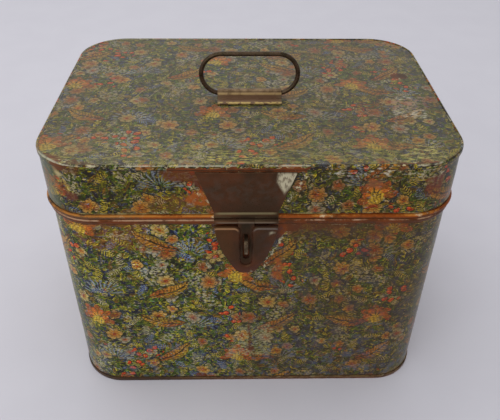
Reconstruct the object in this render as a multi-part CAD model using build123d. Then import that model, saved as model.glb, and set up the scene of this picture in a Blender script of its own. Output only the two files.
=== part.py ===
from build123d import *
import math
import os

# Hinged sewing tin of printed tinplate: a rounded box, a slip-over lid with a wired edge, a hasp that
# drops over a staple on the front, two small butt hinges on the back and a wire bail on the lid.
# Millimetres. X runs left to right, Y front to back, Z up; the tin stands on Z = 0 and the origin is
# the middle of the box wall's plan. Profiles are drawn as (out, up): out is the distance outwards
# from the box wall's outer face, up is the height.

# The box
box_width = 230.0
box_depth = 168.5
box_height = 142.8         # to the lower edge of the closed lid
box_corner = 28.0          # outside corner radius in plan
box_sheet = 0.4            # tinplate of the box
base_rim_height = 2.8      # seam that folds the base round the wall's lower edge
base_rim_proud = 0.6
base_lift = 1.4            # how far the panel is recessed above the floor
bead_height = 4.8          # swaged ridge that the lid's edge comes down on
bead_proud = 1.4
neck_rise = 9.2            # neck above the lid's lower edge, inside the lid
neck_inset = 1.0           # the neck is stepped in from the wall
neck_hem = 3.5             # safe edge folded inwards
side_seam_width = 5.0      # lapped seam down the back

# The lid
lid_height = 34.7
lid_sheet = 0.4
lid_clearance = 0.9        # from the box wall's outer face to the lid wall's inner face
lid_seat = 0.1             # overlap in height of the edge and the bead beside it
edge_wire = 1.6            # wire that the lid's lower edge is curled round
curl_centre_out = 1.2
curl_open = 50.0           # degrees of the curl left open against the wall
joggle_rise = 1.0          # the wall reaches its full width this far above the curl
top_rim_height = 3.0       # seam that folds the top panel round the wall
top_rim_proud = 0.7
top_panel_drop = 0.5       # panel below the crest of its rim
rim_edge = 0.35            # rounding of the two seams

# The wire bail and its strap
bail_x = 0.0
bail_y = -8.8
bail_width = 58.0          # between wire centres
bail_height = 25.3
bail_wire = 2.8
bail_pivot_rise = 2.7      # wire centre above the panel
strap_width = 39.0
strap_sheet = 0.6
strap_bore = 4.7           # inside of the folded tunnel
strap_front_flange = 6.6
strap_back_flange = 6.0

# The hasp, hung from a plate on the lid's front
hasp_x = -2.8
hasp_sheet = 0.8
hasp_pin = 1.5
hasp_pin_play = 0.05
hasp_gap = 0.35            # between its barrel and the lid's curl
knuckle_gap = 0.15         # round the tongue's knuckle
hasp_axis_rise = 0.5       # pin above the lid's lower edge
hasp_barrel_width = 35.0
hasp_tongue_width = 9.0
plate_top_drop = 4.5       # below the lid's crest
plate_top_width = 53.0
plate_bend_rise = 3.9      # above the pin, where the plate leaves the wall
plate_bend = 0.5           # inside bend there
flap_width = 35.2
flap_height = 33.4
flap_drop = 3.5            # flap's top below the pin
flap_back_out = 3.6
flap_foot_width = 10.5
flap_foot_rise = 1.0
flap_waist_width = 27.0    # at half the flap's height
hasp_shoulder = 1.8        # upright side at the flap's top
channel_width = 6.2        # recess down the middle of the flap
channel_depth = 1.4
channel_foot = 5.3         # its end above the flap's foot
channel_corner = 3.0
flap_bend = 0.9            # inside bend of the flap's pressed shoulders
slot_width = 3.8
slot_height = 18.2
slot_foot = 9.4            # its lower end above the flap's foot

# The staple on the box
staple_width = 2.2
staple_sheet = 1.1
staple_reach = 8.2
staple_height = 9.6
staple_rise = 1.2          # its middle above the slot's middle
staple_foot = 4.5          # leg clinched flat inside the wall
staple_play = 0.1
staple_bend = 0.8          # inside bends of the loop

# The two hinges on the back
hinge_spacing = 124.0      # between the middles of the hinges
hinge_width = 30.0
hinge_sheet = 0.6
hinge_pin = 1.6
hinge_pin_play = 0.05
hinge_gap = 0.35           # beside the lid's curl, and between the knuckles
hinge_notch = 0.8          # how far a leaf is cut back from the other's knuckles
hinge_bend = 0.6           # inside bend of each leaf
lid_leaf_height = 13.0     # flat part of each leaf
box_leaf_height = 15.0
leaf_corner = 4.0
lid_leaf_rise = 4.5        # bend of the lid leaf above the pin
box_leaf_drop = 1.6        # bend of the box leaf below the bead

# Worked out from the sizes above
half_depth = box_depth / 2
curl_radius = edge_wire / 2 + lid_sheet
curl_level = box_height + curl_radius
lid_out = lid_clearance + lid_sheet
bead_top_level = box_height + lid_seat
bead_low_level = bead_top_level - bead_height
neck_top_level = box_height + neck_rise
lid_top_level = box_height + lid_height
panel_level = lid_top_level - top_panel_drop
bail_axis_level = panel_level + bail_pivot_rise
curl_reach = curl_centre_out + curl_radius
hasp_knuckle = hasp_pin / 2 + hasp_pin_play + hasp_sheet
hasp_axis_out = curl_reach + hasp_gap + hasp_knuckle
hasp_axis_level = box_height + hasp_axis_rise
plate_top_level = lid_top_level - plate_top_drop
plate_bend_level = hasp_axis_level + plate_bend_rise
flap_top_level = hasp_axis_level - flap_drop
flap_low_level = flap_top_level - flap_height
slot_level = flap_low_level + slot_foot + slot_height / 2
staple_low_level = slot_level + staple_rise - staple_height / 2
staple_top_level = staple_low_level + staple_height
hinge_knuckle = hinge_pin / 2 + hinge_pin_play + hinge_sheet
hinge_axis_out = curl_reach + hinge_gap + hinge_knuckle
hinge_centres = {"left": -hinge_spacing / 2, "right": hinge_spacing / 2}


def outline(out):
    """Plan of the tin, grown outwards all round."""
    return RectangleRounded(box_width + 2 * out, box_depth + 2 * out, box_corner + out)


def slab(out, low, high):
    """Solid with the tin's plan between two levels."""
    return Pos(Z=low) * extrude(outline(out), high - low)


def band(profile):
    """Carries a closed (out, up) profile round the plan."""
    path = outline(0).face().outer_wire()
    along = path % 0
    section = Plane(path @ 0, x_dir=along.cross(Vector(0, 0, 1)), z_dir=-along)
    return sweep(section * profile, path=path)


def front_strip(profile, x, width):
    """Extrudes an (out, up) profile along X on the front of the tin."""
    section = Plane((x - width / 2, -half_depth, 0), x_dir=(0, -1, 0), z_dir=(-1, 0, 0))
    return extrude(section * profile, -width)


def back_strip(profile, x, width):
    """The same on the back of the tin."""
    section = Plane((x - width / 2, half_depth, 0), x_dir=(0, 1, 0), z_dir=(1, 0, 0))
    return extrude(section * profile, width)


def bent_sheet(thickness, bends, *corners):
    """Profile of a strip bent along a line that is one face; the sheet lies to the left of the line.

    Each bend is an inside radius.
    """
    points = [Vector(*corner) for corner in corners]
    runs = [(end - start).normalized() for start, end in zip(points, points[1:])]
    lefts = [Vector(-run.Y, run.X) for run in runs]
    face_radii = []
    back_radii = []
    for bend, run, following in zip(bends, runs, runs[1:]):
        sheet_inside = run.cross(following).Z > 0
        face_radii.append(bend + thickness if sheet_inside else bend)
        back_radii.append(bend if sheet_inside else bend + thickness)
    back_points = []
    for point, before, after in zip(points, [lefts[0], *lefts], [*lefts, lefts[-1]]):
        back_points.append(point + (before + after) * (thickness / (1 + before.dot(after))))
    face_line = FilletPolyline(*points, radius=face_radii)
    back_line = FilletPolyline(*back_points, radius=back_radii)
    ends = [Line(face_line @ end, back_line @ end) for end in (0, 1)]
    return make_face([face_line, back_line, *ends])


def disc(x, y, radius):
    return Pos(x, y) * Circle(radius)


def cyl_x(x, width, y, z, radius):
    """Round bar along X."""
    return Pos(x, y, z) * Rot(Y=90) * Cylinder(radius, width)


def bead_arc(out, half_height):
    """Arc of the swaged bead, bulging outwards from one face of the wall."""
    middle = (bead_low_level + bead_top_level) / 2
    low = (out, middle - half_height)
    high = (out, middle + half_height)
    return ThreePointArc(low, (out + bead_proud, middle), high)


def make_box_wall():
    bead_radius = (bead_height**2 / 4 + bead_proud**2) / (2 * bead_proud)
    inner_half = math.sqrt((bead_radius - box_sheet) ** 2 - (bead_radius - bead_proud - box_sheet) ** 2)
    outer = bead_arc(0, bead_height / 2)
    inner = bead_arc(-box_sheet, inner_half)
    step_top = bead_top_level + neck_inset
    neck = -neck_inset
    crown = neck_top_level - box_sheet
    outside = Polyline((0, box_sheet), outer @ 0)
    step_out = Polyline(outer @ 1, (neck, step_top), (neck, crown))
    hem = ThreePointArc((neck, crown), (neck - box_sheet, neck_top_level), (neck - 2 * box_sheet, crown))
    hem_level = neck_top_level - neck_hem
    step_in = Polyline(
        (neck - 2 * box_sheet, crown),
        (neck - 2 * box_sheet, hem_level),
        (neck - box_sheet, hem_level),
        (neck - box_sheet, step_top - box_sheet),
        inner @ 1,
    )
    inside = Polyline(inner @ 0, (-box_sheet, box_sheet), (0, box_sheet))
    profile = make_face([outside, outer, step_out, hem, step_in, inner, inside])
    seam = Rectangle(box_sheet, bead_low_level - base_rim_height, align=(Align.MIN, Align.MIN))
    wall = band(profile) + back_strip(Pos(0, base_rim_height) * seam, 0, side_seam_width)
    for level in staple_legs():
        wall -= Pos(hasp_x, -half_depth, level) * Box(
            staple_width + 2 * staple_play, 4 * box_sheet, staple_sheet + 2 * staple_play
        )
    return wall


def make_box_base():
    panel_top = base_lift + box_sheet
    seam = slab(base_rim_proud, 0, base_rim_height)
    seam = fillet(ends(seam), rim_edge)
    groove = slab(0, box_sheet, base_rim_height) - slab(-box_sheet, box_sheet, panel_top)
    above = slab(-box_sheet, panel_top, base_rim_height)
    recess = slab(-2 * box_sheet, 0, base_lift)
    return seam - groove - above - recess


def ends(part):
    """Lowest and highest edges."""
    levels = part.edges().group_by(Axis.Z)
    return levels[0] + levels[-1]


def staple_legs():
    return staple_low_level + staple_sheet / 2, staple_top_level - staple_sheet / 2


def make_staple():
    """Strip bent into a U, its legs through the wall and clinched away from each other inside."""
    inside = -box_sheet
    profile = bent_sheet(
        staple_sheet,
        (staple_play, staple_bend, staple_bend, staple_play),
        (inside, staple_low_level - staple_foot),
        (inside, staple_low_level),
        (staple_reach, staple_low_level),
        (staple_reach, staple_top_level),
        (inside, staple_top_level),
        (inside, staple_top_level + staple_foot),
    )
    return front_strip(profile, hasp_x, staple_width)


def make_lid_wall():
    """Lid wall joggled in at its lower edge, which is curled outwards round the edge wire."""
    inner_out = curl_centre_out - curl_radius
    wall_top = lid_top_level - lid_sheet
    ring = disc(curl_centre_out, curl_level, curl_radius) - disc(curl_centre_out, curl_level, edge_wire / 2)
    joggle_low = curl_level + lid_sheet
    joggle_top = curl_level + curl_radius + joggle_rise
    skirt = make_face(
        Polyline(
            (inner_out, curl_level),
            (inner_out, joggle_low),
            (lid_clearance, joggle_top),
            (lid_clearance, wall_top),
            (lid_out, wall_top),
            (lid_out, joggle_top),
            (inner_out + lid_sheet, joggle_low),
            (inner_out + lid_sheet, curl_level),
            close=True,
        )
    )
    reach = 2 * curl_radius
    opening = make_face(
        Polyline(
            (curl_centre_out, curl_level),
            (curl_centre_out, curl_level + reach),
            (
                curl_centre_out - reach * math.sin(math.radians(curl_open)),
                curl_level + reach * math.cos(math.radians(curl_open)),
            ),
            close=True,
        )
    )
    return band(skirt + (ring - opening))


def make_lid_edge_wire():
    return band(disc(curl_centre_out, curl_level, edge_wire / 2))


def make_lid_top():
    """Top panel folded down round the lid wall, with a rim that stands above the panel."""
    skirt_low = lid_top_level - top_rim_height
    wall_top = lid_top_level - lid_sheet
    seam = slab(lid_out + top_rim_proud, skirt_low, lid_top_level)
    seam = fillet(ends(seam), rim_edge)
    groove = slab(lid_out, skirt_low, wall_top) - slab(lid_clearance, panel_level - lid_sheet, wall_top)
    dish = slab(lid_clearance - lid_sheet, panel_level, lid_top_level)
    return seam - groove - dish


def make_handle_loop():
    """Bail of round wire, standing upright on its straight lower run."""
    centre = Plane((bail_x, bail_y, bail_axis_level + bail_height / 2), x_dir=(1, 0, 0), z_dir=(0, -1, 0))
    path = (centre * SlotOverall(bail_width, bail_height)).face().outer_wire()
    section = Plane(path @ 0, z_dir=path % 0)
    return sweep(section * Circle(bail_wire / 2), path=path)


def strap_arch(radius):
    """Round-topped section of the strap's tunnel, standing on the panel."""
    sides = Rectangle(2 * radius, bail_pivot_rise, align=(Align.CENTER, Align.MIN))
    below = Rectangle(2 * radius, radius, align=(Align.CENTER, Align.MAX))
    return disc(0, bail_pivot_rise, radius) + sides - below


def make_handle_strap():
    """Strap folded over the bail's lower run, with a flange soldered down in front and behind."""
    bore = strap_bore / 2
    hump = bore + strap_sheet
    front = Pos(-hump, 0) * Rectangle(strap_front_flange, strap_sheet, align=(Align.MAX, Align.MIN))
    back = Pos(hump, 0) * Rectangle(strap_back_flange, strap_sheet, align=(Align.MIN, Align.MIN))
    profile = strap_arch(hump) + front + back - strap_arch(bore)
    section = Plane((bail_x - strap_width / 2, bail_y, panel_level), x_dir=(0, 1, 0), z_dir=(1, 0, 0))
    return extrude(section * profile, strap_width)


def front_plate(sketch, out, thickness):
    """Extrudes an (x, up) sketch, centred on the hasp, away from the tin's front."""
    section = Plane((hasp_x, -half_depth - out, 0), x_dir=(1, 0, 0), z_dir=(0, -1, 0))
    return extrude(section * sketch, thickness)


def hasp_bar(width, radius):
    return cyl_x(hasp_x, width, -half_depth - hasp_axis_out, hasp_axis_level, radius)


def make_hasp_plate():
    """Tapered plate on the lid's front, bent out over the lid's curl and rolled round the pin from behind."""
    bore = hasp_pin / 2 + hasp_pin_play
    profile = bent_sheet(
        hasp_sheet,
        [plate_bend],
        (lid_out, plate_top_level),
        (lid_out, plate_bend_level),
        (hasp_axis_out - hasp_knuckle + hasp_sheet / 2, hasp_axis_level),
    )
    profile += disc(hasp_axis_out, hasp_axis_level, hasp_knuckle)
    low = hasp_axis_level - 2 * hasp_knuckle
    taper = make_face(
        Polyline(
            (-plate_top_width / 2, plate_top_level),
            (-hasp_barrel_width / 2, plate_bend_level),
            (-hasp_barrel_width / 2, low),
            (hasp_barrel_width / 2, low),
            (hasp_barrel_width / 2, plate_bend_level),
            (plate_top_width / 2, plate_top_level),
            close=True,
        )
    )
    plate = front_strip(profile, hasp_x, plate_top_width)
    plate &= front_plate(taper, 0, hasp_axis_out + hasp_knuckle)
    plate -= hasp_bar(hasp_tongue_width + 2 * knuckle_gap, hasp_knuckle + knuckle_gap)
    return plate - hasp_bar(plate_top_width, bore)


def make_hasp():
    """Shield-shaped flap pressed out beside a channel, hung by a tongue rolled round the pin."""
    side_top = flap_top_level - hasp_shoulder
    half_top = flap_width / 2
    half_foot = flap_foot_width / 2
    foot_level = flap_low_level + flap_foot_rise
    waist = (flap_waist_width / 2, (flap_top_level + flap_low_level) / 2)
    right = ThreePointArc((half_top, side_top), waist, (half_foot, foot_level))
    foot = ThreePointArc((half_foot, foot_level), (0, flap_low_level), (-half_foot, foot_level))
    left = mirror(right, Plane.YZ)
    shoulders = Polyline(
        (-half_top, side_top), (-half_top, flap_top_level), (half_top, flap_top_level), (half_top, side_top)
    )
    shield = make_face([right, foot, left, shoulders]) - channel(0)
    under = Pos(0, flap_top_level - hasp_sheet) * Rectangle(
        2 * flap_width, 2 * flap_height, align=(Align.CENTER, Align.MAX)
    )
    pressing = rounded_shoulders(front_plate(shield, flap_back_out, channel_depth + hasp_sheet), hasp_sheet)
    hollow = rounded_shoulders(front_plate(under - channel(hasp_sheet), flap_back_out, channel_depth), 0)
    flap = pressing - hollow + front_plate(channel_stem(hasp_sheet), flap_back_out, hasp_sheet)
    tongue_low = flap_top_level - channel_corner
    tongue_high = hasp_axis_level - hasp_knuckle + hasp_sheet / 2
    tongue = Pos(0, tongue_low) * Rectangle(
        hasp_tongue_width, tongue_high - tongue_low, align=(Align.CENTER, Align.MIN)
    )
    flap += front_plate(tongue, flap_back_out, hasp_sheet) + hasp_bar(hasp_tongue_width, hasp_knuckle)
    slot = Pos(0, slot_level) * Rot(Z=90) * SlotOverall(slot_height, slot_width)
    flap -= front_plate(slot, 0, hasp_axis_out + hasp_knuckle)
    return flap - hasp_bar(flap_width, hasp_pin / 2 + hasp_pin_play)


def channel_stem(grow):
    """Straight-sided channel with a round foot, up to the flap's top edge."""
    foot = flap_low_level + channel_foot + channel_width / 2
    half = channel_width / 2 + grow
    stem = Pos(0, foot) * Rectangle(2 * half, flap_top_level - foot, align=(Align.CENTER, Align.MIN))
    return stem + disc(0, foot, half)


def channel(grow):
    """The channel with the flap's two round corners beside its top."""
    reach = channel_width / 2 + channel_corner
    level = flap_top_level - channel_corner
    corner = channel_corner - grow
    flare = Pos(0, level) * Rectangle(2 * reach, channel_corner, align=(Align.CENTER, Align.MIN))
    return channel_stem(grow) + (flare - disc(-reach, level, corner) - disc(reach, level, corner))


def rounded_shoulders(pressing, sheet):
    """Rounds the front edges beside the channel and along the flap's top."""
    reach = channel_width / 2 + channel_corner
    front = pressing.faces().sort_by(Axis.Y)[0]

    def shoulder(edge):
        middle = edge @ 0.5
        beside = abs(middle.X - hasp_x) < reach and middle.Z > flap_low_level + channel_foot / 2
        return beside or middle.Z > flap_top_level - 1.5 * hasp_sheet

    return fillet(front.edges().filter_by(shoulder), sheet + flap_bend)


def make_hasp_pin():
    return hasp_bar(hasp_barrel_width, hasp_pin / 2)


def hinge_bar(x, width, radius):
    return cyl_x(x, width, half_depth + hinge_axis_out, curl_level, radius)


def hinge_knuckles(x, own_middle):
    """The barrel's three thirds: what a leaf keeps, and what it leaves free for the other leaf."""
    third = hinge_width / 3
    ends = [x - third, x + third]
    own = [x] if own_middle else ends
    other = ends if own_middle else [x]
    rolled = [hinge_bar(place, third - (hinge_gap if own_middle else 0), hinge_knuckle) for place in own]
    freed = [hinge_bar(place, third + hinge_gap, hinge_knuckle + hinge_notch) for place in other]
    return rolled, freed


def hinge_leaf(x, profile, own_middle):
    rolled, freed = hinge_knuckles(x, own_middle)
    leaf = back_strip(profile, x, hinge_width) - freed
    leaf += rolled
    return leaf - hinge_bar(x, hinge_width, hinge_pin / 2 + hinge_pin_play)


def make_hinge_lid_leaf(x):
    bore = hinge_pin / 2 + hinge_pin_play
    bend_level = curl_level + lid_leaf_rise
    profile = bent_sheet(
        hinge_sheet,
        [hinge_bend],
        (lid_out, bend_level + lid_leaf_height),
        (lid_out, bend_level),
        (hinge_axis_out, curl_level + bore),
    )
    leaf = hinge_leaf(x, profile, own_middle=True)
    return fillet(leaf.edges().filter_by(Axis.Y).group_by(Axis.Z)[-1], leaf_corner)


def make_hinge_box_leaf(x):
    bore = hinge_pin / 2 + hinge_pin_play
    bend_level = bead_low_level - box_leaf_drop
    profile = bent_sheet(
        hinge_sheet,
        [hinge_bend],
        (hinge_axis_out, curl_level - bore),
        (0, bend_level),
        (0, bend_level - box_leaf_height),
    )
    leaf = hinge_leaf(x, profile, own_middle=False)
    return fillet(leaf.edges().filter_by(Axis.Y).group_by(Axis.Z)[0], leaf_corner)


def make_hinge_pin(x):
    return hinge_bar(x, hinge_width, hinge_pin / 2)


pieces = {
    "box_wall": make_box_wall(),
    "box_base": make_box_base(),
    "staple": make_staple(),
    "lid_wall": make_lid_wall(),
    "lid_top": make_lid_top(),
    "lid_edge_wire": make_lid_edge_wire(),
    "handle_strap": make_handle_strap(),
    "handle_loop": make_handle_loop(),
    "hasp_plate": make_hasp_plate(),
    "hasp_pin": make_hasp_pin(),
    "hasp": make_hasp(),
}
for side, centre_x in hinge_centres.items():
    pieces[side + "_hinge_lid_leaf"] = make_hinge_lid_leaf(centre_x)
    pieces[side + "_hinge_box_leaf"] = make_hinge_box_leaf(centre_x)
    pieces[side + "_hinge_pin"] = make_hinge_pin(centre_x)

os.makedirs("parts", exist_ok=True)
for node, piece in pieces.items():
    export_step(piece, f"parts/{node}.step")
    print(f"{node:24s} {len(piece.solids())} solid, {piece.volume:10.1f} mm3")
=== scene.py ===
import math
from functools import partialmethod, reduce
import bpy
import bmesh
from mathutils import Matrix, Vector, noise


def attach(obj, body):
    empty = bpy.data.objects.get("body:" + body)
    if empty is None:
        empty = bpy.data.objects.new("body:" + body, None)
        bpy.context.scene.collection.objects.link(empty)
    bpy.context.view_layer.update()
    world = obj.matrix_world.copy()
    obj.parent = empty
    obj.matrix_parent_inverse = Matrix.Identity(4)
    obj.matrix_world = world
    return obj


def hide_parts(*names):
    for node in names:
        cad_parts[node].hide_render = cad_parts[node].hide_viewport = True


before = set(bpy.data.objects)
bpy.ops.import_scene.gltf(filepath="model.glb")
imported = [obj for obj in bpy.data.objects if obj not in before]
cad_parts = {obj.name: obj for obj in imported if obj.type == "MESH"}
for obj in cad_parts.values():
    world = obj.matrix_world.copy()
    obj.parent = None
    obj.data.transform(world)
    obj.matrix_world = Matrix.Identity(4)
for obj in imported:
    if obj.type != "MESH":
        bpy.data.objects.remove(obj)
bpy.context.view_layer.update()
mm = 0.001

# sizes of the tin that several pieces share, in millimetres
tin = {
    "halfWidth": 115.0,
    "halfDepth": 84.25,
    "corner": 28.0,
    "cornerSteps": 18,
    "sheet": 0.4,
    "lidEdge": 142.8,
    "lidTop": 177.5,
    "lidOut": 1.3,          # lid wall's outer face, outwards from the box wall
}


class Wire:
    # an output socket; sums with it make Math nodes in its tree
    def __init__(self, socket):
        self.socket = socket
        self.tree = socket.id_data

    def calc(self, operation, *others):
        return mathNode(operation, self, *others)

    __add__ = __radd__ = partialmethod(calc, "ADD")
    __mul__ = __rmul__ = partialmethod(calc, "MULTIPLY")
    __sub__ = partialmethod(calc, "SUBTRACT")
    __truediv__ = partialmethod(calc, "DIVIDE")
    __gt__ = partialmethod(calc, "GREATER_THAN")
    __abs__ = partialmethod(calc, "ABSOLUTE")

    def __rsub__(self, other):
        return mathNode("SUBTRACT", other, self)

    def __rtruediv__(self, other):
        return mathNode("DIVIDE", other, self)


def plug(socket, given):
    if isinstance(given, Wire):
        socket.id_data.links.new(given.socket, socket)
    else:
        socket.default_value = given


def addNode(tree, kind, inputs=(), **settings):
    node = tree.nodes.new(kind)
    for name, setting in settings.items():
        setattr(node, name, setting)
    for name, given in dict(inputs).items():
        plug(node.inputs[name], given)
    return node


def treeOf(given):
    return next(item.tree for item in given if isinstance(item, Wire))


def nodeWire(kind, inputs, output=0, tree=None, **settings):
    # one output of a new node, in the tree of the wires that it takes
    return Wire(addNode(tree or treeOf(inputs.values()), kind, inputs, **settings).outputs[output])


def mathNode(operation, *given):
    return nodeWire("ShaderNodeMath", dict(enumerate(given)), operation=operation)


def vectorNode(operation, *given, output=0):
    return nodeWire("ShaderNodeVectorMath", dict(enumerate(given)), output, operation=operation)


def scaled(wire, factor):
    return nodeWire("ShaderNodeVectorMath", {0: wire, 3: factor}, operation="SCALE")


def turned(wire, angle):
    return nodeWire("ShaderNodeVectorRotate", {"Vector": wire, "Angle": angle}, rotation_type="Z_AXIS")


def splitVector(wire):
    return [Wire(socket) for socket in addNode(wire.tree, "ShaderNodeSeparateXYZ", {0: wire}).outputs]


def joinVector(x, y, z=0.0):
    return nodeWire("ShaderNodeCombineXYZ", {0: x, 1: y, 2: z})


def fade(wire, low, high, start=0.0, end=1.0):
    # smooth ramp between two levels; low may be the larger
    inputs = {0: wire, 1: low, 2: high, 3: start, 4: end}
    return nodeWire("ShaderNodeMapRange", inputs, interpolation_type="SMOOTHSTEP")


def noiseWire(vector, scale, detail=3.0, roughness=0.5):
    inputs = {"Vector": vector, "Scale": scale, "Detail": detail, "Roughness": roughness}
    return nodeWire("ShaderNodeTexNoise", inputs)


def paint(colour):
    # display colour, 0 to 255, to the linear one that nodes take; wires and linear colours pass as they are
    if isinstance(colour, Wire) or len(colour) == 4:
        return colour
    parts = [part / 255 for part in colour]
    return (*[part / 12.92 if part <= 0.04045 else ((part + 0.055) / 1.055) ** 2.4 for part in parts], 1.0)


def mixColour(share, below, above, blend="MIX"):
    # sockets 6 and 7 are the colour pair of a Mix node
    inputs = {0: share, 6: paint(below), 7: paint(above)}
    return nodeWire("ShaderNodeMix", inputs, 2, data_type="RGBA", blend_type=blend)


def layered(colour, palette, shades):
    for share, name in shades:
        colour = mixColour(share, colour, palette[name])
    return colour


def rampColour(share, stops):
    node = addNode(share.tree, "ShaderNodeValToRGB", {0: share})
    ramp = node.color_ramp
    ramp.interpolation = "CONSTANT"
    while len(ramp.elements) < len(stops):
        ramp.elements.new(1.0)
    for element, (place, colour) in zip(ramp.elements, stops):
        element.position = place
        element.color = paint(colour)
    return Wire(node.outputs[0])


def socketKind(default):
    # a socket without a default is told by the name of its kind
    if isinstance(default, str):
        return "NodeSocket" + default
    count = 1 if isinstance(default, float) else len(default)
    return {1: "NodeSocketFloat", 3: "NodeSocketVector", 4: "NodeSocketColor"}[count]


def nodeGroup(name, kind, inputs, outputs):
    tree = bpy.data.node_groups.new(name, kind)
    for side, sockets in (("INPUT", inputs), ("OUTPUT", outputs)):
        for label, default in sockets.items():
            socket = tree.interface.new_socket(label, in_out=side, socket_type=socketKind(default))
            if not isinstance(default, str):
                socket.default_value = default
    given = addNode(tree, "NodeGroupInput")
    result = addNode(tree, "NodeGroupOutput")
    return tree, {label: Wire(given.outputs[label]) for label in inputs}, result.inputs


def useGroup(group, **inputs):
    node = addNode(treeOf(inputs.values()), "ShaderNodeGroup", inputs, node_tree=group)
    return {socket.name: Wire(socket) for socket in node.outputs}


def linked(name, data):
    thing = bpy.data.objects.new(name, data)
    bpy.context.scene.collection.objects.link(thing)
    return thing


def arcPoints(centre, radius, start, end, count):
    # angles in degrees, anticlockwise from the out direction
    turns = [math.radians(start + (end - start) * step / count) for step in range(count + 1)]
    return [(centre[0] + radius * math.cos(turn), centre[1] + radius * math.sin(turn)) for turn in turns]


def planPoints():
    # plan of the box, from the middle of the back and anticlockwise seen from above
    corner = tin["corner"]
    points = [(0.0, tin["halfDepth"])]
    for sideX, sideY, start in ((-1, 1, 90), (-1, -1, 180), (1, -1, 270), (1, 1, 360)):
        centre = (sideX * (tin["halfWidth"] - corner), sideY * (tin["halfDepth"] - corner))
        points += arcPoints(centre, corner, start, start + 90, tin["cornerSteps"])
    return points


def lineObject(name, points):
    # closed line through (x, y) points given in millimetres; a profile's y runs downwards when it is swept
    data = bpy.data.curves.new(name, "CURVE")
    data.dimensions = "3D"
    spline = data.splines.new("POLY")
    spline.points.add(len(points) - 1)
    for point, (x, y) in zip(spline.points, points):
        point.co = (x * mm, y * mm, 0, 1)
    spline.use_cyclic_u = True
    return linked(name, data)


def levels(low, high, step):
    count = max(1, round(abs(high - low) / step))
    return [low + (high - low) * place / count for place in range(count + 1)]


def captured(geometry, label, kind, field):
    node = geometry.tree.nodes.new("GeometryNodeCaptureAttribute")
    node.capture_items.new(kind, label)
    plug(node.inputs[0], geometry)
    plug(node.inputs[1], field)
    return Wire(node.outputs[0]), Wire(node.outputs[1])


def faceMean(field):
    return nodeWire("GeometryNodeFieldOnDomain", {0: field}, domain="FACE", data_type="FLOAT")


def sweptBandTree():
    # carries a closed profile round the plan; lengths along both lines become the UV map, in metres
    sizes = {
        "Geometry": "Geometry",
        "profile": "Object",
        "step": 0.003,
        "dentDepth": 0.0002,
        "dentSize": 0.05,
        "freeLow": 0.01,
        "freeHigh": 0.1,
        "seed": 1.0,
        "insideFrom": 1.0,
        "outerMaterial": "Material",
        "innerMaterial": "Material",
    }
    ease = 0.012  # metres over which a dent dies out towards the stiff edges
    tree, given, result = nodeGroup("sweptBand", "GeometryNodeTree", sizes, {"Geometry": "Geometry"})
    inputs = {"Curve": given["Geometry"], "Length": given["step"]}
    path = nodeWire("GeometryNodeResampleCurve", inputs, mode="LENGTH")
    total = nodeWire("GeometryNodeCurveLength", {0: path})
    length = nodeWire("GeometryNodeSplineParameter", {}, "Length", tree)
    path, along = captured(path, "Along", "FLOAT", length)
    path, side = captured(path, "Side", "VECTOR", nodeWire("GeometryNodeInputNormal", {}, 0, tree))
    profile = nodeWire("GeometryNodeObjectInfo", {"Object": given["profile"]}, "Geometry")
    profile, up = captured(profile, "Up", "FLOAT", length)
    mesh = nodeWire("GeometryNodeCurveToMesh", {"Curve": path, "Profile Curve": profile})
    # the last faces of the round run back to zero, so their low corners get the whole length added
    unrolled = along + total * (faceMean(along) - along > total * 0.25)
    inputs = {"Geometry": mesh, "Name": "UVMap", "Value": joinVector(unrolled, up)}
    mesh = nodeWire("GeometryNodeStoreNamedAttribute", inputs, data_type="FLOAT2", domain="CORNER")
    place = nodeWire("GeometryNodeInputPosition", {}, 0, tree)
    height = splitVector(place)[2]
    moved = vectorNode("ADD", place, joinVector(*[given["seed"]] * 3))
    wave = noiseWire(moved, 1.0 / given["dentSize"], 2.0)
    free = fade(height, given["freeLow"], given["freeLow"] + ease)
    free = free * fade(height, given["freeHigh"], given["freeHigh"] - ease)
    push = scaled(side, (wave - 0.5) * 2.0 * given["dentDepth"] * free)
    mesh = nodeWire("GeometryNodeSetPosition", {"Geometry": mesh, "Offset": push})
    mesh = nodeWire("GeometryNodeRealizeInstances", {0: mesh})
    mesh = nodeWire("GeometryNodeSetMaterial", {"Geometry": mesh, "Material": given["outerMaterial"]})
    inside = faceMean(up) > given["insideFrom"]
    inputs = {"Geometry": mesh, "Selection": inside, "Material": given["innerMaterial"]}
    plug(result["Geometry"], nodeWire("GeometryNodeSetMaterial", inputs))
    return tree


def smoothed(piece, angle=40):
    # smooth across gentle bends, sharp past an angle in degrees
    piece.data.shade_smooth()
    piece.data.set_sharp_from_angle(angle=math.radians(angle))
    return piece


def applied(carrier, tree, inputs, name):
    # runs a node tree on an object and keeps the result as a plain mesh, its faces outwards
    modifier = carrier.modifiers.new("build", "NODES")
    modifier.node_group = tree
    for item in tree.interface.items_tree:
        if item.in_out == "INPUT" and item.name in inputs:
            modifier[item.identifier] = inputs[item.name]
    carrier.update_tag()
    bpy.context.view_layer.update()
    mesh = bpy.data.meshes.new_from_object(carrier.evaluated_get(bpy.context.evaluated_depsgraph_get()))
    mesh.name = name
    bpy.data.objects.remove(carrier)
    work = bmesh.new()
    work.from_mesh(mesh)
    if work.calc_volume(signed=True) < 0:
        bmesh.ops.reverse_faces(work, faces=work.faces)
    work.to_mesh(mesh)
    work.free()
    return smoothed(linked(name, mesh))


def meshPiece(name, work, materials):
    mesh = bpy.data.meshes.new(name)
    work.to_mesh(mesh)
    work.free()
    for material in materials:
        mesh.materials.append(material)
    return linked(name, mesh)


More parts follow.
